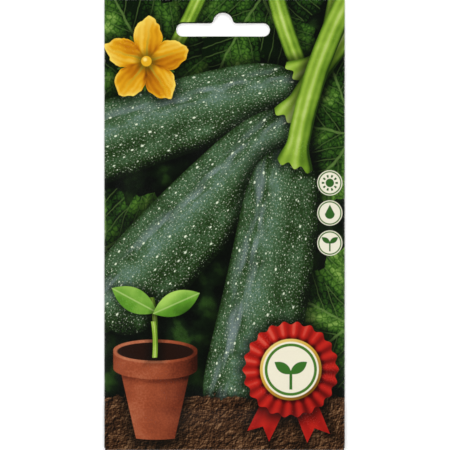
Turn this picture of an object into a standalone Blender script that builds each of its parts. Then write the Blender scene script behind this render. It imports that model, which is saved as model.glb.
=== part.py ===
"""A sealed paper seed packet with a hang slot, lying on its back, with its seeds inside.

+Z points up and out of the front panel, +Y points to the header, and the origin is the middle
of the packet's footprint, on the surface that it lies on. Units are metres.
"""

import math
import random

import bmesh
import bpy
from mathutils import Vector

# Driving dimensions
PACKET_WIDTH = 0.080
PACKET_LENGTH = 0.150
PAPER = 0.0002
LAYER_GAP = 0.0001
SEAM_OVERLAP = 0.010
FLAP_LENGTH = 0.014
FLAP_TAPER = 0.004
HEADER_LENGTH = 0.026
POUCH_RISE = 0.0034

SLOT_LENGTH = 0.0312
SLOT_HEIGHT = 0.0044
SLOT_FOOT = 0.0123  # from the packet's top edge down to the slot's lower edge
SLOT_OFFSET = -0.0005
HUMP_WIDTH = 0.0066
HUMP_RISE = 0.0035
HUMP_FILLET = 0.0012

SEED_COUNT = 12
SEED_LENGTH = 0.0130
SEED_WIDTH = 0.0080
SEED_THICKNESS = 0.0021
SEED_CLEARANCE = 0.0003

# Worked out from the driving dimensions
LAYER = PAPER + LAYER_GAP
HALF_WIDTH = PACKET_WIDTH / 2
HALF_LENGTH = PACKET_LENGTH / 2
HALF_SEAM = SEAM_OVERLAP / 2
HEADER_LINE = HALF_LENGTH - HEADER_LENGTH
FOLD_X = HALF_WIDTH - PAPER / 2 - LAYER / 2  # where the panels end and a side fold begins
FLAP_TURN = LAYER
FLAP_START = -HALF_LENGTH + PAPER / 2 + FLAP_TURN
FLAP_END = FLAP_START + FLAP_LENGTH
BACK_END = FLAP_START + 2 * PAPER

# How the sheet bends
STEP_RUN = 0.002  # the length over which it climbs by one layer
LAP_RUN = 0.006  # the front's slower fall on each side of the seam behind it
FOLD_STEPS = 4
PILLOW_POWER = 2.6  # how squarely the pouch's section is filled
BOTTOM_RUN = 0.026
HEADER_RUN = 0.036


def smooth(value, start, end):
    """0 before start, 1 after end, and an even S between them."""
    x = min(max((value - start) / (end - start), 0), 1)
    return x * x * (3 - 2 * x)


def spread(start, end, parts):
    """The start, the end and the even steps between them."""
    return [start + (end - start) * i / parts for i in range(parts + 1)]


def outer_back(y):
    """Height of the right-hand back panel, which lifts only to pass over the bottom flap."""
    return PAPER / 2 + LAYER * (1 - smooth(y, FLAP_END, FLAP_END + STEP_RUN))


def inner_back(x, y):
    """Height of the left-hand back panel, whose edge is tucked in under the other at the seam."""
    return outer_back(y) + LAYER * smooth(x, -HALF_SEAM - STEP_RUN, -HALF_SEAM)


def front(x, y):
    """Height of the front panel: flat on the layers behind it, and swollen over the pouch."""
    seam = LAYER * (1 - smooth(abs(x), HALF_SEAM, HALF_SEAM + LAP_RUN))
    from_bottom = smooth(y, -HALF_LENGTH, -HALF_LENGTH + BOTTOM_RUN)
    from_header = 1 - smooth(y, HEADER_LINE - HEADER_RUN, HEADER_LINE)
    across = 1 - (abs(x) / FOLD_X) ** PILLOW_POWER
    return outer_back(y) + LAYER + seam + (POUCH_RISE - seam) * from_bottom * from_header * across


def front_columns():
    """Where the front panel's lines of points stand, closest where the paper bends most."""
    beside_seam = spread(HALF_SEAM, HALF_SEAM + LAP_RUN, 3)
    right = beside_seam + spread(HALF_SEAM + LAP_RUN, 0.034, 4)[1:] + [0.0375, FOLD_X]
    return [-x for x in reversed(right)] + [0.0] + right


def rows():
    """Places along the packet where the sheet has a row of points."""
    over_flap = spread(BACK_END, FLAP_END, 4)
    climb = spread(FLAP_END, FLAP_END + STEP_RUN, 2)[1:]
    pouch = spread(FLAP_END + STEP_RUN, HEADER_LINE, 18)[1:]
    return over_flap + climb + pouch + [HALF_LENGTH]


def fold_arc(side, y):
    """The points of a side fold, from the back panel up to the front one."""
    radius = LAYER / 2
    foot = outer_back(y)
    turns = spread(0, math.pi, FOLD_STEPS)[1:-1]
    return [(side * (FOLD_X + radius * math.sin(a)), foot + radius * (1 - math.cos(a))) for a in turns]


def left_of_front(y):
    """The sheet from the seam's inner edge round the left side, as (x, z)."""
    across = [HALF_SEAM, 0, -HALF_SEAM, -HALF_SEAM - STEP_RUN / 2, -HALF_SEAM - STEP_RUN, -0.024, -FOLD_X]
    return [(x, inner_back(x, y)) for x in across] + fold_arc(-1, y)


def right_of_front(y):
    """The sheet round the right side to the seam's outer edge, as (x, z)."""
    across = [FOLD_X, 0.024, HALF_SEAM + STEP_RUN, 0, -HALF_SEAM]
    return fold_arc(1, y)[::-1] + [(x, outer_back(y)) for x in across]


def wrapped_row(y, columns):
    """One whole turn of the sheet round the packet at y."""
    panel = [(x, front(x, y)) for x in columns]
    return [(x, y, z) for x, z in left_of_front(y) + panel + right_of_front(y)]


def flap_rows(columns):
    """The front panel's end, its turn round the bottom fold and the flap glued up behind."""
    made = []
    for angle in spread(0, math.pi, FOLD_STEPS):
        y = FLAP_START - FLAP_TURN * math.sin(angle)
        tops = [(x, front(x, FLAP_START) - PAPER / 2) for x in columns]
        made.append([(x, y, PAPER / 2 + drop * (1 + math.cos(angle)) / 2) for x, drop in tops])
    narrowed = 1 - FLAP_TAPER / FOLD_X
    return made + [[(x * narrowed, FLAP_END, PAPER / 2) for x in columns]]


def join_rows(bm, lines, flipped):
    """A strip of faces between each line of points and the next."""
    for low, high in zip(lines, lines[1:]):
        for i in range(len(low) - 1):
            corners = [low[i], low[i + 1], high[i + 1], high[i]]
            bm.faces.new(corners[::-1] if flipped else corners)


def folded_sheet():
    """The middle of the paper: the sheet wrapped round, and the bottom flap folded up."""
    columns = front_columns()
    bm = bmesh.new()
    tube = [[bm.verts.new(p) for p in wrapped_row(y, columns)] for y in rows()]
    first = len(left_of_front(BACK_END))
    flap = [tube[0][first : first + len(columns)]]
    flap += [[bm.verts.new(p) for p in row] for row in flap_rows(columns)]
    join_rows(bm, tube, flipped=False)
    join_rows(bm, flap, flipped=True)
    mesh = bpy.data.meshes.new("paper_sleeve")
    bm.to_mesh(mesh)
    bm.free()
    return mesh


def arc(centre, radius, start, end, parts):
    """Points on a circle from one angle to another, both ends included."""
    x, y = centre
    turns = spread(start, end, parts)
    return [(x + radius * math.cos(a), y + radius * math.sin(a)) for a in turns]


def slot_outline():
    """The hang slot: a round-ended bar with a round hump on top, joined by small fillets."""
    end_radius = SLOT_HEIGHT / 2
    foot = HALF_LENGTH - SLOT_FOOT
    middle = foot + end_radius
    top = foot + SLOT_HEIGHT
    end_x = SLOT_LENGTH / 2 - end_radius
    hump_radius = HUMP_WIDTH / 2
    hump_centre = top + HUMP_RISE - hump_radius
    fillet_y = top + HUMP_FILLET
    fillet_x = math.sqrt((hump_radius + HUMP_FILLET) ** 2 - (fillet_y - hump_centre) ** 2)
    lean = math.atan2(fillet_y - hump_centre, fillet_x)
    half_turn = math.pi / 2
    outline = arc((end_x, middle), end_radius, -half_turn, half_turn, 10)
    outline += arc((fillet_x, fillet_y), HUMP_FILLET, -half_turn, lean - math.pi, 4)
    outline += arc((0, hump_centre), hump_radius, lean, math.pi - lean, 14)
    outline += arc((-fillet_x, fillet_y), HUMP_FILLET, -lean, -half_turn, 4)
    outline += arc((-end_x, middle), end_radius, half_turn, 3 * half_turn, 10)
    return [(x + SLOT_OFFSET, y) for x, y in outline]


def slot_punch():
    """The solid that punches the slot through every layer of the header."""
    depth = 10 * LAYER
    bm = bmesh.new()
    face = bm.faces.new([bm.verts.new((x, y, -depth)) for x, y in slot_outline()])
    swept = bmesh.ops.extrude_face_region(bm, geom=[face])
    lifted = [v for v in swept["geom"] if isinstance(v, bmesh.types.BMVert)]
    bmesh.ops.translate(bm, verts=lifted, vec=Vector((0, 0, 3 * depth)))
    bmesh.ops.recalc_face_normals(bm, faces=bm.faces)
    mesh = bpy.data.meshes.new("slot_punch")
    bm.to_mesh(mesh)
    bm.free()
    punch = bpy.data.objects.new("slot_punch", mesh)
    punch.hide_render = True
    punch.display_type = "WIRE"
    bpy.context.collection.objects.link(punch)
    return punch


def material(name, colour, roughness):
    """A Principled material for one kind of piece."""
    made = bpy.data.materials.new(name)
    made.use_nodes = True
    shader = made.node_tree.nodes["Principled BSDF"]
    shader.inputs["Base Color"].default_value = (*colour, 1)
    shader.inputs["Roughness"].default_value = roughness
    shader.inputs["Metallic"].default_value = 0
    return made


def paper_sleeve():
    """The packet: one folded sheet of coated paper with the slot punched through its header."""
    mesh = folded_sheet()
    mesh.materials.append(material("coated_paper", (0.085, 0.098, 0.042), 0.35))
    mesh.shade_smooth()
    sleeve = bpy.data.objects.new("paper_sleeve", mesh)
    bpy.context.collection.objects.link(sleeve)
    wall = sleeve.modifiers.new("paper", "SOLIDIFY")
    wall.thickness = PAPER
    wall.offset = 0
    cut = sleeve.modifiers.new("hang_slot", "BOOLEAN")
    cut.operation = "DIFFERENCE"
    cut.solver = "EXACT"
    cut.object = slot_punch()
    return sleeve


def seed_mesh():
    """A flat squash seed: a plump middle, a shallow groove and a thin raised rim."""
    half_profile = [(0.42, 0.94), (0.70, 0.72), (0.84, 0.44), (0.93, 0.40), (1.0, 0.20)]
    profile = half_profile + [(reach, -height) for reach, height in reversed(half_profile)]
    sides = 18
    bm = bmesh.new()
    rings = []
    for reach, height in profile:
        ring = []
        for turn in spread(0, 2 * math.pi, sides)[:-1]:
            along, across = reach * math.cos(turn), reach * math.sin(turn)
            taper = 1 - 0.30 * max(along, 0) ** 2 - 0.10 * along
            place = (along * SEED_LENGTH / 2, across * taper * SEED_WIDTH / 2, height * SEED_THICKNESS / 2)
            ring.append(bm.verts.new(place))
        rings.append(ring)
    for upper, lower in zip(rings, rings[1:]):
        for i in range(sides):
            after = (i + 1) % sides
            bm.faces.new([upper[i], lower[i], lower[after], upper[after]])
    for ring, height in ((rings[0], SEED_THICKNESS / 2), (rings[-1][::-1], -SEED_THICKNESS / 2)):
        pole = bm.verts.new((0, 0, height))
        for i in range(sides):
            bm.faces.new([ring[i], ring[(i + 1) % sides], pole])
    mesh = bpy.data.meshes.new("seed")
    bm.to_mesh(mesh)
    bm.free()
    mesh.materials.append(material("seed_coat", (0.74, 0.66, 0.46), 0.55))
    mesh.shade_smooth()
    return mesh


def body_circles(x, y, turn):
    """Three circles that cover a seed, by their centres."""
    step = (SEED_LENGTH - SEED_WIDTH) / 2
    return [Vector((x + i * step * math.cos(turn), y + i * step * math.sin(turn))) for i in (-1, 0, 1)]


def seed_places():
    """Where the seeds lie: loose in one layer, where the pouch is deep enough, none touching."""
    draw = random.Random(4)
    apart = SEED_WIDTH + 2 * SEED_CLEARANCE
    placed = []
    while len(placed) < SEED_COUNT:
        x, y = draw.uniform(-0.020, 0.020), draw.uniform(-0.050, 0.012)
        turn = draw.uniform(0, 2 * math.pi)
        circles = body_circles(x, y, turn)
        taken = [c for spot in placed for c in body_circles(*spot)]
        if all((a - b).length > apart for a in circles for b in taken):
            placed.append((x, y, turn))
    return placed


def paper_below(x):
    """Top of the paper under a seed: a layer higher where the seed reaches over the seam."""
    reach = SEED_LENGTH / 2
    over_seam = x + reach > -HALF_SEAM - STEP_RUN and x - reach < HALF_SEAM
    return PAPER + (LAYER if over_seam else 0)


def seeds():
    """The loose seeds, each lying flat on the back panel below it."""
    shared = seed_mesh()
    for number, (x, y, turn) in enumerate(seed_places(), start=1):
        seed = bpy.data.objects.new(f"seed_{number:02d}", shared)
        seed.location = (x, y, paper_below(x) + SEED_CLEARANCE + SEED_THICKNESS / 2)
        seed.rotation_euler = (0, 0, turn)
        bpy.context.collection.objects.link(seed)


for old in list(bpy.data.objects):
    bpy.data.objects.remove(old, do_unlink=True)
paper_sleeve()
seeds()
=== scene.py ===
"""The looks of a paper seed packet that lies on its back on a pale surface, front up."""

import math

import bpy
import numpy as np
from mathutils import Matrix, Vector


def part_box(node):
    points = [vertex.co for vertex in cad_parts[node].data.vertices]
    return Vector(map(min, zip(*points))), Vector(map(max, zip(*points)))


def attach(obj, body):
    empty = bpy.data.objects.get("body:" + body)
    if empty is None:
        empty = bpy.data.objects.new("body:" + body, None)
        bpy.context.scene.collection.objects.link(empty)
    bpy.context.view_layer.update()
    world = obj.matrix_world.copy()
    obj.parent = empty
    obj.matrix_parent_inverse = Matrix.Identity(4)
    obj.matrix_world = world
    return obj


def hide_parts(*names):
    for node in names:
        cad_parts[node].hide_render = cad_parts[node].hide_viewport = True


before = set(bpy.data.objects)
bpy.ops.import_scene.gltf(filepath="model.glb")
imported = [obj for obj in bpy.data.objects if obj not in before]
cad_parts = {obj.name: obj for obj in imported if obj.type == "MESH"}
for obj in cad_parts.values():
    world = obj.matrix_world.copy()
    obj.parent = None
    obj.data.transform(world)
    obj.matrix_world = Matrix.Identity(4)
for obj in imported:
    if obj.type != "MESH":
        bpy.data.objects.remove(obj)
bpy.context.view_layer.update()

# The camera looks straight down through a long lens, so that the packet's edges stay parallel.
# The packet just fills the picture's height, and its middle lies a hair left of the picture's.
CAMERA_X, CAMERA_HEIGHT = 0.00015, 0.90
VIEW_WIDTH = 0.1498
SENSOR = 36
camera = bpy.data.objects.new("camera", bpy.data.cameras.new("camera"))
camera.location = (CAMERA_X, 0, CAMERA_HEIGHT)
camera.data.sensor_width = SENSOR
camera.data.lens = SENSOR * CAMERA_HEIGHT / VIEW_WIDTH
camera.data.clip_start = 0.01
bpy.context.collection.objects.link(camera)
bpy.context.scene.camera = camera

# A white light table under the packet, and a large soft box low on each of its four sides, with a
# dim even sky. None stands where a packet that lies flat would mirror it into the camera.
FLOOR_SIZE, FLOOR_DROP = 6, 0.0002
BOX_AWAY, BOX_HEIGHT = 1.25, 0.95
BOX_WIDTH, BOX_LENGTH = 1.5, 0.8
bpy.ops.object.select_all(action="DESELECT")
bpy.ops.mesh.primitive_plane_add(size=FLOOR_SIZE, location=(0, 0, -FLOOR_DROP))
floor = bpy.context.object
floor.name = "floor"
floor_paint = bpy.data.materials.new("floor_white")
floor_paint.use_nodes = True
floor_surface = floor_paint.node_tree.nodes["Principled BSDF"].inputs
floor_surface["Base Color"].default_value = (0.88, 0.88, 0.88, 1)
floor_surface["Roughness"].default_value = 0.9
floor_surface["Emission Color"].default_value = (1, 1, 1, 1)
floor_surface["Emission Strength"].default_value = 0.14
floor.data.materials.append(floor_paint)


def soft_box(name, x, y, power):
    """A wide lamp that stands on one side, above the packet, and faces its middle."""
    lamp = bpy.data.lights.new(name, "AREA")
    lamp.shape = "RECTANGLE"
    lamp.size, lamp.size_y = BOX_WIDTH, BOX_LENGTH
    lamp.energy = power
    made = bpy.data.objects.new(name, lamp)
    made.location = (x * BOX_AWAY, y * BOX_AWAY, BOX_HEIGHT)
    made.rotation_euler = (-made.location).to_track_quat("-Z", "Y").to_euler()
    bpy.context.collection.objects.link(made)


soft_box("top_light", 0, 1, 16.5)
soft_box("foot_light", 0, -1, 11)
soft_box("left_light", -1, 0, 14)
soft_box("right_light", 1, 0, 11)
world = bpy.data.worlds.new("sky")
world.use_nodes = True
sky = world.node_tree.nodes["Background"].inputs
sky["Color"].default_value = (1, 1, 1, 1)
sky["Strength"].default_value = 0.05
bpy.context.scene.world = world
bpy.context.scene.view_settings.view_transform = "Standard"

# The packet: one sheet of coated paper, printed flat, then folded round both sides and lapped
# along the back, its bottom flap folded up behind. The header is glued flat and the rest swells
# over the seeds. The hang slot is punched last, through every layer.
PAPER = 0.0002
LAYER = 0.0003  # from the middle of one layer to the middle of the next
HALF_WIDTH, HALF_LENGTH = 0.040, 0.075
HALF_SEAM = 0.005  # half of how far the two back panels lap
FOLD_X = HALF_WIDTH - PAPER / 2 - LAYER / 2
FLAP_TURN = LAYER
FLAP_START = -HALF_LENGTH + PAPER / 2 + FLAP_TURN
FLAP_LENGTH = 0.014
FLAP_END = FLAP_START + FLAP_LENGTH
FLAP_TAPER = 0.004
BACK_END = FLAP_START + 2 * PAPER
HEADER_LINE = HALF_LENGTH - 0.026  # the header is glued flat from here up
STEP_RUN = 0.002  # how gently a panel climbs over the edge of another
LAP_RUN = 0.006
POUCH_RISE = 0.0034
POUCH_START, POUCH_END = -HALF_LENGTH + 0.026, HEADER_LINE - 0.036
POUCH_ROUND = 2.6  # how squarely the pouch swells between its side folds
SEED_SWELL, SEED_REACH = 0.00016, 0.0052
END_BUCKLE, SIDE_BUCKLE, DENT = 0.00011, 0.00006, 0.00007
SLACK = 0.00022  # how far the relief sinks below the full pouch
SIDE_ARC = math.pi * LAYER / 2
BOTTOM_ARC = math.pi * LAYER
FOLD_STEPS = 6


def smooth(value, start, end):
    """0 before start, 1 after end, and an even S between them."""
    x = np.clip((value - start) / (end - start), 0, 1)
    return x * x * (3 - 2 * x)


def spaced(start, end, step):
    """Even places from start to end, both included, about a step apart."""
    return np.linspace(start, end, max(int(round(abs(end - start) / step)), 1) + 1)


def outer_back(y):
    """Height of the right-hand back panel, which lifts only to pass over the bottom flap."""
    return PAPER / 2 + LAYER * (1 - smooth(y, FLAP_END, FLAP_END + STEP_RUN))


def inner_back(x, y):
    """Height of the left-hand back panel, whose edge is tucked in under the other at the seam."""
    return outer_back(y) + LAYER * smooth(x, -HALF_SEAM - STEP_RUN, -HALF_SEAM)


def fullness(x, y):
    """How far the pouch is swollen, from 0 at its glued ends and side folds to 1 over the seeds."""
    along = smooth(y, -HALF_LENGTH, POUCH_START) * (1 - smooth(y, POUCH_END, HEADER_LINE))
    return along * (1 - np.minimum(abs(x) / FOLD_X, 1) ** POUCH_ROUND)


def relief(x, y):
    """The paper's own give: swells over the seeds, and buckles that run out of each glued end."""
    swell = 0
    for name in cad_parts:
        if name.startswith("seed"):
            low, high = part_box(name)
            middle = (low + high) / 2
            away = ((x - middle.x) ** 2 + (y - middle.y) ** 2) / SEED_REACH**2
            swell = np.maximum(swell, np.exp(-away))
    waves = np.sin(x / 0.0017 + 3 * np.sin(x / 0.011)) + 0.6 * np.sin(x / 0.0029 + 1.3)
    crest = HEADER_LINE - 0.006
    near_header = smooth(y, crest - 0.024, crest) * (1 - smooth(y, crest, HEADER_LINE))
    crest = -HALF_LENGTH + 0.005
    near_bottom = smooth(y, crest - 0.004, crest) * (1 - smooth(y, crest, crest + 0.022))
    sides = np.sin(y / 0.0031 + 2 * np.sin(y / 0.017) + np.sign(x)) * smooth(abs(x), 0.024, 0.033)
    dents = np.sin(x / 0.0087 + 1.1 + np.sin(y / 0.014)) * np.sin(y / 0.0115 + 0.4 + np.sin(x / 0.019))
    buckles = END_BUCKLE * waves * (near_header + near_bottom)
    buckles = buckles + SIDE_BUCKLE * sides * fullness(x * 0.6, y)
    return SEED_SWELL * swell + DENT * dents + smooth(HALF_WIDTH - abs(x), 0.001, 0.008) * buckles


def front(x, y):
    """Height of the front panel: flat on the layers behind it, and swollen over the pouch."""
    lap = LAYER * (1 - smooth(abs(x), HALF_SEAM, HALF_SEAM + LAP_RUN))
    full = fullness(x, y)
    own = (relief(x, y) - SLACK) * smooth(full, 0, 0.25)
    return outer_back(y) + LAYER + lap + (POUCH_RISE - lap) * full + own


def folded(across, along):
    """Where a point of the flat sheet lies once the packet is folded."""
    side = np.sign(across)
    past = np.clip(abs(across) - FOLD_X, 0, SIDE_ARC)
    turn = past / SIDE_ARC * math.pi
    behind = np.clip(abs(across) - FOLD_X - SIDE_ARC, 0, None)
    y = np.maximum(along, FLAP_START)
    x = np.where(abs(across) < FOLD_X, across, side * (FOLD_X + LAYER / 2 * np.sin(turn) - behind))
    back = np.where(side > 0, outer_back(y), inner_back(x, y))
    edge = front(side * FOLD_X, y)
    round_side = outer_back(y) + (edge - outer_back(y)) * (1 + np.cos(turn)) / 2
    z = np.where(abs(across) < FOLD_X, front(x, y), np.where(behind > 0, back, round_side))
    round_turn = np.clip(FLAP_START - along, 0, BOTTOM_ARC) / BOTTOM_ARC * math.pi
    up_behind = np.clip(FLAP_START - along - BOTTOM_ARC, 0, None)
    y = y - FLAP_TURN * np.sin(round_turn) + up_behind
    z = np.where(along < FLAP_START, PAPER / 2 + (z - PAPER / 2) * (1 + np.cos(round_turn)) / 2, z)
    x = x * (1 - FLAP_TAPER / FOLD_X * up_behind / FLAP_LENGTH)
    return np.stack([x, y, z], 1)


half_across = np.concatenate([
    spaced(0, FOLD_X, 0.001),
    FOLD_X + spaced(0, SIDE_ARC, SIDE_ARC / FOLD_STEPS)[1:],
    FOLD_X + SIDE_ARC + spaced(0, FOLD_X + HALF_SEAM, 0.0012)[1:],
])
across_places = np.concatenate([-half_across[:0:-1], half_across])
along_places = np.concatenate([
    FLAP_START - BOTTOM_ARC - spaced(FLAP_LENGTH, 0, 0.002),
    FLAP_START - spaced(BOTTOM_ARC, 0, BOTTOM_ARC / FOLD_STEPS)[1:],
    [BACK_END],
    spaced(BACK_END, HALF_LENGTH, 0.001)[1:],
])
bpy.ops.object.select_all(action="DESELECT")
bpy.ops.mesh.primitive_grid_add(
    x_subdivisions=len(across_places) - 1, y_subdivisions=len(along_places) - 1, size=2
)
sleeve = bpy.context.object
sleeve.name = "printed_sleeve"
mesh = sleeve.data
spots = np.zeros(len(mesh.vertices) * 3, np.float32)
mesh.vertices.foreach_get("co", spots)
spots = spots.reshape(-1, 3)
column = np.rint((spots[:, 0] + 1) / 2 * (len(across_places) - 1)).astype(int)
row = np.rint((spots[:, 1] + 1) / 2 * (len(along_places) - 1)).astype(int)
flat = np.stack([across_places[column], along_places[row]], 1)
mesh.vertices.foreach_set("co", folded(flat[:, 0], flat[:, 1]).astype(np.float32).ravel())

corners = np.zeros(len(mesh.loops), int)
mesh.loops.foreach_get("vertex_index", corners)
face_middles = flat[corners].reshape(-1, 4, 2).mean(1)
behind = (abs(face_middles[:, 0]) > FOLD_X + SIDE_ARC) | (face_middles[:, 1] < FLAP_START - BOTTOM_ARC)
mesh.polygons.foreach_set("material_index", behind.astype(int))
beside_flap = (face_middles[:, 1] < BACK_END) & (abs(face_middles[:, 0]) > FOLD_X)
bpy.context.tool_settings.mesh_select_mode = (False, False, True)
bpy.ops.object.mode_set(mode="EDIT")
bpy.ops.mesh.select_all(action="DESELECT")
bpy.ops.object.mode_set(mode="OBJECT")
mesh.polygons.foreach_set("select", beside_flap)
bpy.ops.object.mode_set(mode="EDIT")
bpy.ops.mesh.delete(type="FACE")
bpy.ops.object.mode_set(mode="OBJECT")

# The front is printed like a photograph: three courgettes among leaves, a blossom, a seedling in a
# clay pot, a strip of soil, a ribbon rosette and three plain signs, under a satin coating. Each motif
# is drawn in millimetres on the flat sheet and laid over what is printed before it.


class Ink:
    """A number that changes over the print. Arithmetic on it adds the material's own Math nodes."""

    nodes = links = None

    def __init__(self, socket):
        self.socket = socket

    @classmethod
    def node(cls, kind, settings=None, values=None, output=0):
        """Any node: its settings first, then the values or links of its sockets."""
        made = cls.nodes.new("ShaderNode" + kind)
        for name, value in (settings or {}).items():
            if name == "stops":
                ramp = made.color_ramp.elements
                while len(ramp) < len(value):
                    ramp.new(0.5)
                for stop, (place, colour) in zip(ramp, value):
                    stop.position, stop.color = place, colour
            else:
                setattr(made, name, value)
        for name, value in (values or {}).items():
            if isinstance(value, Ink):
                cls.links.new(value.socket, made.inputs[name])
            else:
                made.inputs[name].default_value = value
        return cls(made.outputs[output])

    @staticmethod
    def math(operation, *values):
        """A Math node on numbers or other Inks."""
        return Ink.node("Math", {"operation": operation}, dict(enumerate(values)))

    def __add__(self, other):
        return Ink.math("ADD", self, other)

    def __sub__(self, other):
        return Ink.math("SUBTRACT", self, other)

    def __rsub__(self, other):
        return Ink.math("SUBTRACT", other, self)

    def __mul__(self, other):
        return Ink.math("MULTIPLY", self, other)

    def __truediv__(self, other):
        return Ink.math("DIVIDE", self, other)

    def __pow__(self, power):
        return Ink.math("POWER", self, power)

    def __abs__(self):
        return Ink.math("ABSOLUTE", self)

    __radd__, __rmul__ = __add__, __mul__


def start_material(name):
    """A new coated-paper material to draw in, and its shader."""
    made = bpy.data.materials.new(name)
    made.use_nodes = True
    Ink.nodes, Ink.links = made.node_tree.nodes, made.node_tree.links
    return made, Ink.nodes["Principled BSDF"].inputs


def give(socket, value):
    """Links a finished value to one of the shader's sockets."""
    Ink.links.new(value.socket, socket)


LIGHT_ON_PAPER = 1.15  # how much brighter than its ink a white sheet looks under these lamps
LIGHT_ANGLE = 127  # where the light in the picture comes from, the upper left
TO_MM = 1000


def ink(red, green, blue):
    """A printed colour, given as it should look, as the ink's own reflectance."""
    seen = [c / 255 for c in (red, green, blue)]
    linear = [c / 12.92 if c <= 0.04045 else ((c + 0.055) / 1.055) ** 2.4 for c in seen]
    return (*(c / LIGHT_ON_PAPER for c in linear), 1)


SHADE = ink(4, 7, 4)
CREAM, SIGN_GREEN, RING_GREEN = ink(240, 236, 214), ink(50, 98, 36), ink(70, 112, 44)
CRISP = 0.1  # how softly a plain sign's edges fade, in millimetres


def edge(value, low, high):
    """0 at low, 1 at high and past it, and an even S between them, whichever is larger."""
    values = {"Value": value, "From Min": low, "From Max": high}
    return Ink.node("MapRange", {"interpolation_type": "SMOOTHSTEP"}, values)


def over(under, colour, cover):
    """Colour laid on what is under it, as far as cover says."""
    return Ink.node("Mix", {"data_type": "RGBA"}, {0: cover, 6: under, 7: colour}, output=2)


def tones(value, *stops):
    """A colour scale: each stop is a place from 0 to 1 and an ink."""
    return Ink.node("ValToRGB", {"stops": stops}, {"Fac": value})


def grain(place, size, detail=2.0, rough=0.5, stretch=(1, 1)):
    """Cloudy noise about 0.5, with features of a size in millimetres."""
    scale = tuple(1 / (size * s) for s in stretch)
    moved = Ink.node("Mapping", None, {"Vector": place, "Scale": (*scale, 1 / size)})
    values = {"Vector": moved, "Scale": 1.0, "Detail": detail, "Roughness": rough}
    return Ink.node("TexNoise", {"noise_dimensions": "2D"}, values)


def cells(place, size, feature="F1"):
    """Scattered points about a size apart, in millimetres: the distance to the nearest, in sizes."""
    settings = {"voronoi_dimensions": "2D", "feature": feature}
    return Ink.node("TexVoronoi", settings, {"Vector": place, "Scale": 1 / size}, "Distance")


def paint(under, colour, inside, soft=0.12):
    """A colour laid on wherever inside, a depth in millimetres, is above nothing."""
    return over(under, colour, edge(inside, -soft, soft))


def shade(under, inside, reach, depth):
    """The soft dark that a motif throws round itself on what it lies on."""
    return over(under, SHADE, edge(inside, -reach, 0) * depth)


def flat_sheet():
    """The sheet's places in millimetres, as one vector and as u across and v up."""
    place = Ink.node("TexCoord", None, None, "Object")
    place = Ink.node("Mapping", None, {"Vector": place, "Scale": (TO_MM, TO_MM, 0)})
    split = Ink.node("SeparateXYZ", None, {"Vector": place}, "X")
    return place, split, Ink(split.socket.node.outputs["Y"])


def from_point(x, y):
    """The sheet's places seen from (x, y)."""
    return u - x, v - y


def turned(x, y, angle):
    """The sheet's places seen from (x, y): along a line at that angle, and across it to the left."""
    c, s = math.cos(math.radians(angle)), math.sin(math.radians(angle))
    along = Ink.math("MULTIPLY_ADD", u, c, Ink.math("MULTIPLY_ADD", v, s, -x * c - y * s))
    across = Ink.math("MULTIPLY_ADD", v, c, Ink.math("MULTIPLY_ADD", u, -s, x * s - y * c))
    return along, across


def bent(x, y, angle, bend):
    """The same for a line that curves away to the left, the more the further along."""
    along, across = turned(x, y, angle)
    return along, Ink.math("MULTIPLY_ADD", along * along, -bend, across)


def distance(across, up):
    """How far a place is, given its two distances at right angles."""
    return Ink.math("SQRT", Ink.math("MULTIPLY_ADD", across, across, up * up))


def polar(x, y, angle):
    """The sheet's places seen from (x, y), as a distance and a turn from the line at that angle."""
    along, across = turned(x, y, angle)
    return distance(along, across), Ink.math("ARCTAN2", across, along)


def from_lobe(turn, spacing, last):
    """The turn from the nearest of several lobes that stand a spacing apart, and the lobe's number."""
    number = Ink.math("ROUND", turn / spacing)
    number = Ink.math("MAXIMUM", Ink.math("MINIMUM", number, last), -last)
    return Ink.math("MULTIPLY_ADD", number, -spacing, turn), number


def facing_light(angle):
    """How far the left side of something at that angle faces the light in the picture."""
    return math.sin(math.radians(LIGHT_ANGLE - angle))


def leaf(under, x, y, angle, size, dark=0.0, lobes=2):
    """A broad leaf with toothed lobes, seen flat: (x, y) is where its stalk joins."""
    reach, turn = polar(x, y, angle)
    spacing = math.radians(60)
    off, number = from_lobe(turn, spacing, lobes)
    teeth = Ink.math("PINGPONG", Ink.math("MULTIPLY_ADD", clouds, 3.0, turn * 8.5), 1.0)
    length = Ink.math("MULTIPLY_ADD", number * number, -0.07 * size, size)
    rim = length * Ink.math("MULTIPLY_ADD", Ink.math("COSINE", off * (math.pi / spacing)), 0.24, 0.70)
    rim = Ink.math("MULTIPLY_ADD", teeth, 0.06 * size, rim)
    inside = rim - reach
    along = reach * Ink.math("COSINE", off)
    side = reach * Ink.math("SINE", off)
    across = abs(Ink.math("MULTIPLY_ADD", clouds, 2.4, side - 1.2))
    ribs = Ink.math("PINGPONG", Ink.math("MULTIPLY_ADD", across, -1.1, along), size * 0.085)
    veins = Ink.math("MAXIMUM", edge(across, 0.55, 0.2), edge(ribs, 0.42, 0.08) * 0.55)
    light = Ink.math("MULTIPLY_ADD", ribs, 2.6 / size, clouds * 0.9 - (0.21 + dark))
    pleat = reach * Ink.math("SINE", off * (2 * math.pi / spacing))
    light = Ink.math("MULTIPLY_ADD", pleat, 0.30 / size, light)
    light = Ink.math("MULTIPLY_ADD", puckers, 0.17, light - 0.11)
    light = Ink.math("MULTIPLY_ADD", fine, 0.30, light)
    colour = tones(
        light,
        (0.18, ink(8, 22, 6)),
        (0.44, ink(34, 66, 18)),
        (0.68, ink(72, 114, 36)),
        (0.90, ink(132, 166, 78)),
    )
    colour = over(colour, ink(112, 146, 72), veins * (0.62 - dark))
    return paint(shade(under, inside, 6, 0.75), colour, inside)


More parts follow.
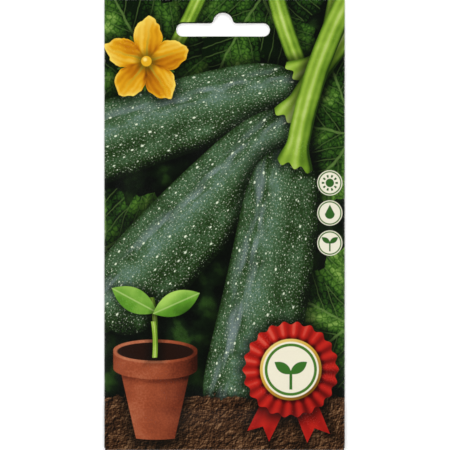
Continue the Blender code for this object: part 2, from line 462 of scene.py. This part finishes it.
def stalk(under, x, y, angle, length, width, bend=0.0, flare=0.0):
    """A ribbed green stalk, or the stem of a courgette, which flares at its far end."""
    along, across = bent(x, y, angle, bend)
    flared = edge(along, length / 2 - 9, length / 2)
    half = Ink.math("MULTIPLY_ADD", flared, flare * width / 2, width / 2)
    t = across / half
    ribs = Ink.math("COSINE", t * 9)
    end = Ink.math("MULTIPLY_ADD", ribs, flare * 1.1, length / 2 - flare - abs(along))
    inside = Ink.math("MINIMUM", half - abs(across), end)
    light = Ink.math("MULTIPLY_ADD", t * t, -0.5, 0.40) + t * (0.22 * facing_light(angle))
    light = Ink.math("MULTIPLY_ADD", ribs, 0.11, light)
    light = Ink.math("MULTIPLY_ADD", clouds, 0.5, light)
    colour = tones(
        light,
        (0.10, ink(34, 58, 12)),
        (0.40, ink(100, 138, 34)),
        (0.65, ink(150, 184, 62)),
        (0.90, ink(202, 220, 132)),
    )
    return paint(shade(under, inside, 4, 0.7), colour, inside)


def flecks(place, apart, least, most):
    """Scattered pale flecks, and a number from 0 to 1 for each: their sizes are shares of apart."""
    near = cells(place, apart)
    kind = Ink.node("SeparateColor", None, {"Color": Ink(near.socket.node.outputs["Color"])}, "Red")
    size = Ink.math("MULTIPLY_ADD", kind**3, most - least, least)
    return edge(near, size, size * 0.4), kind


def courgette(under, x, y, angle, length, width, bend=0.0):
    """A dark speckled courgette with faint lengthwise ribs: its blossom end is at the far end."""
    along, across = bent(x, y, angle, bend)
    s = along / (length / 2)
    half = Ink.math("MULTIPLY_ADD", s, 0.10 * width / 2, width / 2 * 0.94)
    t = across / half
    fill = Ink.math("MULTIPLY_ADD", t, t, s**6)
    height = Ink.math("SQRT", Ink.math("MAXIMUM", 1 - fill, 0.0))
    inside = (1 - fill) * (width / 4)
    lit = t * facing_light(angle)
    ribs = Ink.math("COSINE", Ink.math("MULTIPLY_ADD", clouds, 2.5, Ink.math("ARCSINE", t) * 7.0))
    light = Ink.math("MULTIPLY_ADD", height, 0.36, lit * 0.14)
    light = Ink.math("MULTIPLY_ADD", ribs * height, 0.08, light)
    light = Ink.math("MULTIPLY_ADD", clouds, 0.34, light - 0.10)
    light = Ink.math("MULTIPLY_ADD", fine, 0.46, light - 0.23)
    colour = tones(
        light,
        (0.05, ink(9, 18, 6)),
        (0.28, ink(35, 60, 24)),
        (0.48, ink(70, 101, 67)),
        (0.66, ink(98, 127, 111)),
        (0.85, ink(146, 168, 165)),
    )
    streak = Ink.node("CombineXYZ", None, {"X": along * 0.2, "Y": across})
    gloss = edge(abs(lit - 0.42), 0.34, 0.0) * edge(grain(streak, 3.4), 0.38, 0.72) * height
    colour = over(colour, ink(156, 172, 178), gloss * 0.55)
    skin = Ink.node("CombineXYZ", None, {"X": along * 0.6, "Y": across})
    large, _ = flecks(skin, 2.3, 0.05, 0.20)
    small, kind = flecks(skin, 0.64, 0.22, 0.32)
    speckle = Ink.math("MAXIMUM", large, small * kind * 0.5)
    colour = over(colour, ink(224, 236, 206), speckle * edge(light, -0.02, 0.30) * edge(height, 0.0, 0.6))
    under = over(under, SHADE, edge(fill, 1.9, 0.95) * 0.85)
    return paint(under, colour, inside)


def blossom(under, x, y, angle, size):
    """An open blossom: five broad ruffled petals, joined at the foot, round a deep throat."""
    reach, turn = polar(x, y, angle)
    spacing = math.radians(72)
    off, _ = from_lobe(turn, spacing, 3)
    sepal_off = spacing / 2 - abs(off)
    sepal = size * 0.70 - sepal_off * size - reach
    under = paint(shade(under, sepal, 4, 0.6), ink(84, 126, 44), sepal)
    point = 1 - abs(off) / (spacing / 2)
    rim = Ink.math("MULTIPLY_ADD", point**0.62, size * 0.52, size * 0.42)
    rim = Ink.math("MULTIPLY_ADD", clouds, size * 0.16, rim)
    ruffle = Ink.math("SINE", Ink.math("MULTIPLY_ADD", clouds, 14.0, off * 21))
    inside = Ink.math("MULTIPLY_ADD", ruffle, size * 0.016, rim) - reach
    side = reach * Ink.math("SINE", Ink.math("MULTIPLY_ADD", clouds, 0.44, off - 0.22))
    light = Ink.math("MULTIPLY_ADD", reach, 0.34 / size, Ink.math("MULTIPLY_ADD", clouds, 0.5, 0.06))
    light = Ink.math("MULTIPLY_ADD", Ink.math("SINE", off * (2 * math.pi / spacing)), 0.14, light)
    light = Ink.math("MULTIPLY_ADD", Ink.math("COSINE", side * 3.4), 0.05, light)
    light = Ink.math("MULTIPLY_ADD", edge(point, 0.30, 0.0), -0.20, light)
    light = Ink.math("MULTIPLY_ADD", edge(inside, 1.3, 0.3), 0.16, light)
    facing = Ink.math("COSINE", turn - math.radians(LIGHT_ANGLE - angle))
    light = Ink.math("MULTIPLY_ADD", facing, 0.07, light)
    colour = tones(
        light,
        (0.05, ink(120, 62, 6)),
        (0.30, ink(192, 116, 10)),
        (0.55, ink(228, 166, 24)),
        (0.88, ink(246, 214, 92)),
    )
    colour = over(colour, ink(176, 156, 44), edge(abs(side), 0.55, 0.1) * edge(reach, size, 0.0))
    under = paint(shade(under, inside, 5, 0.75), colour, inside)
    under = over(under, ink(104, 84, 10), edge(reach, size * 0.34, size * 0.12) * 0.8)
    under = paint(under, ink(232, 176, 34), size * 0.12 - reach)
    lit_x, lit_y = from_point(x - 0.03 * size, y + 0.04 * size)
    return over(under, ink(255, 232, 130), edge(distance(lit_x, lit_y), size * 0.07, size * 0.01))


def soil(under, top):
    """A strip of crumbly garden soil along the packet's foot, lit from the upper left."""
    inside = Ink.math("MULTIPLY_ADD", grain(sheet, 5, detail=5, rough=0.65), 8, top - 4) - v
    moved = Ink.node("Mapping", None, {"Vector": sheet, "Location": (0.25, -0.3, 0)})
    crumbs = grain(sheet, 2.6, detail=5, rough=0.7) - grain(moved, 2.6, detail=5, rough=0.7)
    light = Ink.math("MULTIPLY_ADD", crumbs, 2.6, Ink.math("MULTIPLY_ADD", clouds, 0.5, 0.18))
    colour = tones(
        light,
        (0.15, ink(17, 12, 7)),
        (0.42, ink(58, 36, 20)),
        (0.60, ink(90, 59, 36)),
        (0.88, ink(150, 114, 80)),
    )
    return paint(shade(under, inside, 3, 0.8), colour, inside)


def clay_pot(under, x, y, width):
    """A clay flower pot with soil in it, seen from a little above: (x, y) is the middle of its mouth."""
    across, up = from_point(x, y)
    half, mouth, lip, height = width / 2, width * 0.13, width * 0.20, width * 0.92
    t = across / half
    bow = Ink.math("SQRT", Ink.math("MAXIMUM", 1 - t * t, 0.0)) * mouth
    level = 0 - up - bow
    body_half = Ink.math("MULTIPLY_ADD", level, -0.24, half * 0.90)
    body = Ink.math("MINIMUM", body_half - abs(across), height - level)
    body = Ink.math("MINIMUM", body, level)
    rim = Ink.math("MINIMUM", half - abs(across), lip - level)
    rim = Ink.math("MINIMUM", rim, bow + mouth * 0.1 - up)
    hollow = (1 - distance(across / (half - 1.2), up / (mouth - 0.6))) * mouth
    light = Ink.math("MULTIPLY_ADD", t * t, -0.30, Ink.math("MULTIPLY_ADD", t, -0.22, 0.38))
    light = Ink.math("MULTIPLY_ADD", fine, 0.22, Ink.math("MULTIPLY_ADD", clouds, 0.30, light - 0.08))
    clay = (
        (0.10, ink(48, 18, 10)),
        (0.36, ink(112, 48, 28)),
        (0.58, ink(156, 76, 46)),
        (0.88, ink(204, 130, 94)),
    )
    under = shade(under, body, 6, 0.8)
    under = paint(under, tones(light - edge(level, lip + 2.6, lip) * 0.22, *clay), body)
    under = paint(under, tones(light + edge(level, 0.5, 0.0) * 0.16, *clay), rim)
    return paint(under, ink(34, 17, 10), hollow)


def blade(under, x, y, angle, length, width):
    """A small smooth leaf with one rib, pointed at both ends: (x, y) is its middle."""
    along, across = turned(x, y, angle)
    s = along / (length / 2)
    inside = (1 - s * s) * (width / 2) - abs(across)
    light = Ink.math("MULTIPLY_ADD", across, 0.5 * facing_light(angle) / width, 0.28)
    light = Ink.math("MULTIPLY_ADD", clouds, 0.6, light)
    colour = tones(light, (0.15, ink(30, 70, 12)), (0.5, ink(92, 150, 40)), (0.85, ink(170, 210, 96)))
    colour = over(colour, ink(176, 206, 120), edge(abs(across), 0.4, 0.05) * 0.7)
    return paint(shade(under, inside, 3, 0.6), colour, inside)


RED_RIBBON = (
    (0.12, ink(84, 8, 6)),
    (0.42, ink(164, 26, 20)),
    (0.65, ink(196, 36, 26)),
    (0.90, ink(232, 104, 84)),
)


def rosette(under, x, y, size):
    """A pleated red ribbon rosette with two tails, and a cream middle that bears a green sprout."""
    for angle in (-116, -68):
        along, across = turned(x, y, angle)
        end = abs(across) * 0.9 - along + size * 1.5
        notched = Ink.math("MINIMUM", size * 0.26 - abs(across), end - size * 0.14)
        light = Ink.math("MULTIPLY_ADD", clouds, 0.5, 0.22) - edge(along, size * 1.25, size * 0.8) * 0.2
        light = Ink.math("MULTIPLY_ADD", Ink.math("COSINE", across * 1.3), 0.08, light)
        tail = Ink.math("MINIMUM", notched, along)
        under = paint(shade(under, tail, 4, 0.7), tones(light, *RED_RIBBON), tail)
    reach, turn = polar(x, y, 0)
    fold = Ink.math("COSINE", turn * 22)
    inside = Ink.math("MULTIPLY_ADD", fold, 0.035 * size, size) - reach
    side = Ink.math("COSINE", turn - math.radians(LIGHT_ANGLE))
    light = Ink.math("MULTIPLY_ADD", side, 0.12, 0.42)
    light = Ink.math("MULTIPLY_ADD", Ink.math("SINE", turn * 22), 0.20, light)
    light = light - edge(reach, 0.80 * size, 0.62 * size) * 0.3 + clouds * 0.1
    under = paint(shade(under, inside, 5, 0.8), tones(light, *RED_RIBBON), inside)
    middle = 0.66 * size - reach
    light = Ink.math("MULTIPLY_ADD", side, 0.20, 0.40)
    gold = tones(light, (0.2, ink(128, 84, 20)), (0.45, ink(214, 168, 60)), (0.7, ink(248, 224, 140)))
    under = paint(shade(under, middle, 1.5, 0.6), gold, middle)
    under = paint(under, ink(244, 238, 214), middle - 0.06 * size)
    under = paint(under, ink(74, 122, 44), 0.03 * size - abs(middle - 0.13 * size), CRISP)
    return sprout(under, x, y - 0.08 * size, 0.56 * size, ink(58, 112, 40))


def sprout(under, x, y, size, colour):
    """A plain printed sprout with two leaves on a short stem, centred on (x, y)."""
    for angle in (35, 145):
        middle_x = x + 0.36 * size * math.cos(math.radians(angle))
        middle_y = y + 0.36 * size * math.sin(math.radians(angle))
        along, across = turned(middle_x, middle_y, angle)
        s = along / (0.40 * size)
        under = paint(under, colour, (1 - s * s) * (0.19 * size) - abs(across), CRISP)
    across, up = from_point(x, y - 0.28 * size)
    stem = Ink.math("MINIMUM", 0.055 * size - abs(across), 0.34 * size - abs(up))
    return paint(under, colour, stem, CRISP)


def sun(under, x, y, size, colour):
    """A plain printed sun with rays."""
    reach, turn = polar(x, y, 0)
    under = paint(under, colour, 0.26 * size - reach, CRISP)
    ray = Ink.math("MINIMUM", (Ink.math("COSINE", turn * 10) - 0.2) * (0.1 * size), 0.5 * size - reach)
    return paint(under, colour, Ink.math("MINIMUM", ray, reach - 0.34 * size), CRISP)


def drop(under, x, y, size, colour):
    """A plain printed drop of water."""
    across, up = from_point(x, y - 0.06 * size)
    s = Ink.math("MAXIMUM", up, 0.0) / (0.52 * size)
    half = (1 - s) * (0.27 * size)
    round_end = 0.27 * size - distance(across, Ink.math("MINIMUM", up, 0.0))
    tip = Ink.math("MINIMUM", half - abs(across), up)
    foot = Ink.math("MINIMUM", round_end, 0.2 - up)
    return paint(under, colour, Ink.math("MAXIMUM", foot, tip), CRISP)


def badge(under, x, y, size, paper, line):
    """A round pale badge with a thin line inside its rim."""
    reach, _ = polar(x, y, 0)
    inside = size - reach
    under = paint(under, paper, inside)
    return paint(under, line, 0.05 * size - abs(inside - 0.12 * size), CRISP)


front_print, front_shader = start_material("front_print")
sheet, u, v = flat_sheet()
clouds = grain(sheet, 9, detail=3)
fine = grain(sheet, 0.7, detail=2)
puckers = edge(cells(sheet, 1.7, feature="DISTANCE_TO_EDGE"), 0.0, 0.24)

# The motifs, from the back of the picture forward: each has its place, its angle and its sizes.
picture = tones(clouds, (0.32, ink(5, 9, 5)), (0.52, ink(16, 30, 12)), (0.72, ink(44, 74, 26)))
picture = leaf(picture, -22, 48, 118, 36, dark=0.12)
picture = leaf(picture, 12, 76, 240, 30, dark=0.18)
picture = leaf(picture, 44, 30, 170, 30, dark=0.10)
picture = leaf(picture, -40, -8, 330, 30, dark=0.10)
picture = leaf(picture, 42, -34, 150, 30, dark=0.05)
picture = stalk(picture, -16, 60, 62, 60, 5.0, bend=0.002)
picture = stalk(picture, 20, 66, 108, 50, 6.0, bend=-0.003)
picture = stalk(picture, 33, 58, 74, 60, 5.0, bend=0.003)
picture = courgette(picture, -18, 35, 197, 92, 27, bend=0.0012)
picture = stalk(picture, 37, 58, 215, 34, 7.0, bend=-0.002, flare=0.7)
picture = courgette(picture, -9, 3, 226, 96, 29, bend=0.0010)
picture = stalk(picture, 32, 52, 236, 42, 7.5, bend=0.002, flare=0.7)
picture = courgette(picture, 14, -22, 259, 96, 30, bend=-0.0006)
picture = stalk(picture, 30, 49, 252, 62, 7.5, bend=0.003, flare=0.7)
picture = soil(picture, -57)
picture = stalk(picture, -23, -33, 92, 18, 1.8, bend=0.01)
picture = clay_pot(picture, -23, -42, 28)
picture = stalk(picture, -23, -38, 92, 12, 1.8, bend=0.01)
picture = blade(picture, -30, -25, 152, 17, 8)
picture = blade(picture, -16, -26, 24, 17, 8)
picture = blossom(picture, -26.0, 54.5, 15, 14.5)
picture = rosette(picture, 22, -48, 15.5)
SIGN_X, SIGN_RADIUS = 35, 4.2
for draw, y, size in ((sun, 14, 5.4), (drop, 4, 6.0), (sprout, -6, 4.4)):
    picture = badge(picture, SIGN_X, y, SIGN_RADIUS, CREAM, RING_GREEN)
    picture = draw(picture, SIGN_X, y, size, SIGN_GREEN)

# Painted shadow: a thin dark line along the slot's upper edge, where its cut wall would stand in shade.
# It is the slot's outline moved up a hair and darkened, so it shows only above the slot.
SLOT_LENGTH, SLOT_HEIGHT = 0.0312, 0.0044
SLOT_FOOT = HALF_LENGTH - 0.0123
SLOT_OFFSET = -0.0005
HUMP_RADIUS, HUMP_RISE, HUMP_FILLET = 0.0033, 0.0035, 0.0012
end_radius = SLOT_HEIGHT / 2
end_x = SLOT_LENGTH / 2 - end_radius
slot_top = SLOT_FOOT + SLOT_HEIGHT
hump_y = slot_top + HUMP_RISE - HUMP_RADIUS
SLOT_SHADOW_WIDTH = 0.45  # how far the painted shadow shows above the slot, in millimetres
across, up = from_point(SLOT_OFFSET * TO_MM, (SLOT_FOOT + end_radius) * TO_MM + SLOT_SHADOW_WIDTH)
bar = end_radius * TO_MM - distance(Ink.math("MAXIMUM", abs(across) - end_x * TO_MM, 0.0), up)
hump = HUMP_RADIUS * TO_MM - distance(across, up - (hump_y - SLOT_FOOT - end_radius) * TO_MM)
slot_shadow_outline = Ink.math("SMOOTH_MAX", bar, hump, HUMP_FILLET * TO_MM)
# Painted shadow along the slot's upper edge, laid over the print.
picture = over(picture, ink(20, 28, 20), edge(slot_shadow_outline, -0.10, 0.06) * 0.9)
side_edge, end_edge = HALF_WIDTH * TO_MM, HALF_LENGTH * TO_MM
side_wear = edge(abs(u), side_edge - 0.55, side_edge - 0.15)
scuffs = Ink.math("MAXIMUM", side_wear, edge(abs(v), end_edge - 0.25, end_edge))
scuffs = scuffs * edge(grain(sheet, 1.4, detail=4, rough=0.7), 0.52, 0.74)
give(front_shader["Base Color"], over(picture, ink(214, 210, 196), scuffs * 0.3))


def paper_surface(shader, roughest, gloss_change, pitting):
    """The paper's own surface: an uneven gloss, a fine tooth and a slight cockle."""
    cockle = grain(sheet, 11, detail=1)
    give(shader["Roughness"], Ink.math("MULTIPLY_ADD", fine, -gloss_change, roughest - cockle * 0.08))
    height = Ink.math("MULTIPLY_ADD", grain(sheet, 0.35), pitting, cockle * 0.10)
    give(shader["Normal"], Ink.node("Bump", None, {"Strength": 0.6, "Distance": 0.001, "Height": height}))


paper_surface(front_shader, 0.34, 0.10, 0.005)
front_shader["Specular IOR Level"].default_value = 0.35

# The back is printed on the sheet's two outer strips: cream, with a green band at head and foot, a
# sowing calendar with a bar for each job, three planting signs, and ruled lines for notes.
back_print, back_shader = start_material("back_print")
sheet, u, v = flat_sheet()
clouds, fine = grain(sheet, 9, detail=3), grain(sheet, 0.7)
DEEP_GREEN, PALE_GREEN, TABLE_PAPER = ink(38, 82, 36), ink(150, 176, 128), ink(246, 242, 226)


def panel(x, y, width, height):
    """How deep a place is inside an upright rectangle round (x, y)."""
    across, up = from_point(x, y)
    return Ink.math("MINIMUM", width / 2 - abs(across), height / 2 - abs(up))


def rules(value, start, spacing, thickness):
    """How deep a place is inside the nearest of many evenly spaced lines."""
    return thickness / 2 - Ink.math("PINGPONG", value - start, spacing / 2)


MONTHS, COLUMN, LINE = 12, 5.5, 5.0
TABLE_MIDDLE, TABLE_ROWS = 30, 4
notes = tones(clouds, (0.3, ink(224, 214, 188)), (0.7, ink(236, 229, 207)))
table = panel(0, TABLE_MIDDLE, MONTHS * COLUMN, TABLE_ROWS * LINE)
notes = paint(notes, TABLE_PAPER, table)
head_row = TABLE_MIDDLE + (TABLE_ROWS - 1) / 2 * LINE
notes = paint(notes, DEEP_GREEN, panel(0, head_row, MONTHS * COLUMN, LINE))
grid = Ink.math("MAXIMUM", rules(u, 0, COLUMN, 0.3), rules(v, TABLE_MIDDLE, LINE, 0.3))
notes = paint(notes, PALE_GREEN, Ink.math("MINIMUM", grid, table + 0.15), 0.08)
for row, first, last, colour in (
    (1, 4, 5, ink(214, 156, 30)),
    (2, 5, 6, ink(88, 140, 52)),
    (3, 7, 10, ink(178, 44, 30)),
):
    middle = (MONTHS + 1 - first - last) / 2 * COLUMN
    bar = panel(middle, head_row - row * LINE, (last - first + 0.8) * COLUMN, 0.5 * LINE)
    notes = paint(notes, colour, bar)
BACK_SIGN_Y, BACK_SIGN_RADIUS, BACK_SIGN_SIZE = 7, 8.5, 9.5
for draw, x in ((sun, 21), (drop, 0), (sprout, -21)):
    notes = badge(notes, x, BACK_SIGN_Y, BACK_SIGN_RADIUS, TABLE_PAPER, DEEP_GREEN)
    notes = draw(notes, x, BACK_SIGN_Y, BACK_SIGN_SIZE, DEEP_GREEN)
RULES_TOP, RULE_SPACING = -8, 5.2
ruled = Ink.math("MINIMUM", rules(v, RULES_TOP, RULE_SPACING, 0.28), panel(0, -27, 66, 37))
notes = paint(notes, ink(128, 140, 112), ruled, 0.08)
for top, sign in ((51, 1), (-61.5, -1)):
    band = (v - top) * sign
    notes = paint(notes, ink(206, 166, 66), band + 1.1)
    notes = paint(notes, tones(clouds, (0.3, ink(30, 70, 30)), (0.7, ink(48, 96, 42))), band)
folds = edge(abs(u), side_edge - 0.8, side_edge - 0.15)
folds = folds * edge(grain(sheet, 1.4, detail=4, rough=0.7), 0.50, 0.74)
give(back_shader["Base Color"], over(notes, ink(240, 236, 224), folds * 0.6))
paper_surface(back_shader, 0.42, 0.10, 0.006)
back_shader["Specular IOR Level"].default_value = 0.35

# The sheet's unprinted side and its cut edges are bare paper: white fibre, a little cloudy, that runs
# mostly along and across the sheet. The Solidify modifier gives the sheet its thickness.
bare_paper, bare_shader = start_material("bare_paper")
sheet, u, v = flat_sheet()
clouds, fine = grain(sheet, 9, detail=3), grain(sheet, 0.7)
fibre = grain(sheet, 0.5, detail=4, rough=0.6, stretch=(0.5, 3))
fibre = Ink.math("MULTIPLY_ADD", grain(sheet, 0.5, detail=4, rough=0.6, stretch=(3, 0.5)), 0.5, fibre * 0.5)
pulp = tones(fibre, (0.30, ink(214, 208, 196)), (0.50, ink(236, 232, 222)), (0.70, ink(248, 246, 240)))
give(bare_shader["Base Color"], over(pulp, ink(206, 198, 182), edge(clouds, 0.55, 0.8) * 0.3))
paper_surface(bare_shader, 0.95, 0.10, 0.03)

for paper in (front_print, back_print, bare_paper):
    mesh.materials.append(paper)

wall = sleeve.modifiers.new("paper", "SOLIDIFY")
wall.thickness = PAPER
wall.offset = 0
wall.material_offset = 2
wall.material_offset_rim = 2
bpy.ops.object.modifier_apply(modifier="paper")

# The hang slot is punched through every layer at once: a bar with round ends, and a round hump above
# its middle, joined to it by small fillets. The punch is a prism of that outline.


def arc(x, y, radius, start, end, parts):
    """Points on a circle from one angle to another, both ends included."""
    turn = np.linspace(start, end, parts + 1)
    return list(zip(x + radius * np.cos(turn), y + radius * np.sin(turn)))


fillet_y = slot_top + HUMP_FILLET
fillet_x = math.sqrt((HUMP_RADIUS + HUMP_FILLET) ** 2 - (fillet_y - hump_y) ** 2)
lean = math.atan2(fillet_y - hump_y, fillet_x)
quarter = math.pi / 2
outline = [
    *arc(SLOT_OFFSET + end_x, SLOT_FOOT + end_radius, end_radius, -quarter, quarter, 24),
    *arc(SLOT_OFFSET + fillet_x, fillet_y, HUMP_FILLET, -quarter, lean - math.pi, 10),
    *arc(SLOT_OFFSET, hump_y, HUMP_RADIUS, lean, math.pi - lean, 36),
    *arc(SLOT_OFFSET - fillet_x, fillet_y, HUMP_FILLET, -lean, -quarter, 10),
    *arc(SLOT_OFFSET - end_x, SLOT_FOOT + end_radius, end_radius, quarter, 3 * quarter, 24),
]
PUNCH_FOOT, PUNCH_LENGTH = -0.002, 0.006
punch_mesh = bpy.data.meshes.new("punch")
punch_mesh.from_pydata([(x, y, PUNCH_FOOT) for x, y in outline], [], [range(len(outline))])
punch = bpy.data.objects.new("punch", punch_mesh)
bpy.context.collection.objects.link(punch)
bpy.ops.object.select_all(action="DESELECT")
bpy.context.view_layer.objects.active = punch
punch.select_set(True)
bpy.ops.object.mode_set(mode="EDIT")
bpy.ops.mesh.select_all(action="SELECT")
bpy.ops.mesh.extrude_region_move(TRANSFORM_OT_translate={"value": (0, 0, PUNCH_LENGTH)})
bpy.ops.mesh.select_all(action="SELECT")
bpy.ops.mesh.normals_make_consistent(inside=False)
bpy.ops.object.mode_set(mode="OBJECT")
for paper in (front_print, back_print, bare_paper):
    punch_mesh.materials.append(paper)
punch_mesh.polygons.foreach_set("material_index", [2] * len(punch_mesh.polygons))
bpy.ops.object.select_all(action="DESELECT")
bpy.context.view_layer.objects.active = sleeve
sleeve.select_set(True)
cut = sleeve.modifiers.new("hang_slot", "BOOLEAN")
cut.operation = "DIFFERENCE"
cut.solver = "EXACT"
cut.object = punch
bpy.ops.object.modifier_apply(modifier="hang_slot")
bpy.data.objects.remove(punch)
bpy.ops.object.shade_smooth_by_angle(angle=math.radians(40))

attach(sleeve, "root")
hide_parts("paper_sleeve")

# Twelve flat squash seeds lie loose in the sealed pouch. Each is a buff shell with a paler, slightly
# fibrous skin and darker cloudy patches.
seed_coat, seed_shader = start_material("seed_coat")
sheet, u, v = flat_sheet()
clouds, fine = grain(sheet, 4, detail=3), grain(sheet, 0.4)
skin = grain(sheet, 0.8, detail=4, rough=0.65, stretch=(0.6, 1.8))
shell = tones(skin, (0.25, ink(188, 160, 112)), (0.50, ink(222, 200, 154)), (0.75, ink(240, 226, 190)))
give(seed_shader["Base Color"], over(shell, ink(170, 136, 84), edge(clouds, 0.5, 0.8) * 0.5))
paper_surface(seed_shader, 0.68, 0.12, 0.05)
for name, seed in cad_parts.items():
    if name.startswith("seed"):
        for place in seed.material_slots:
            place.material = seed_coat
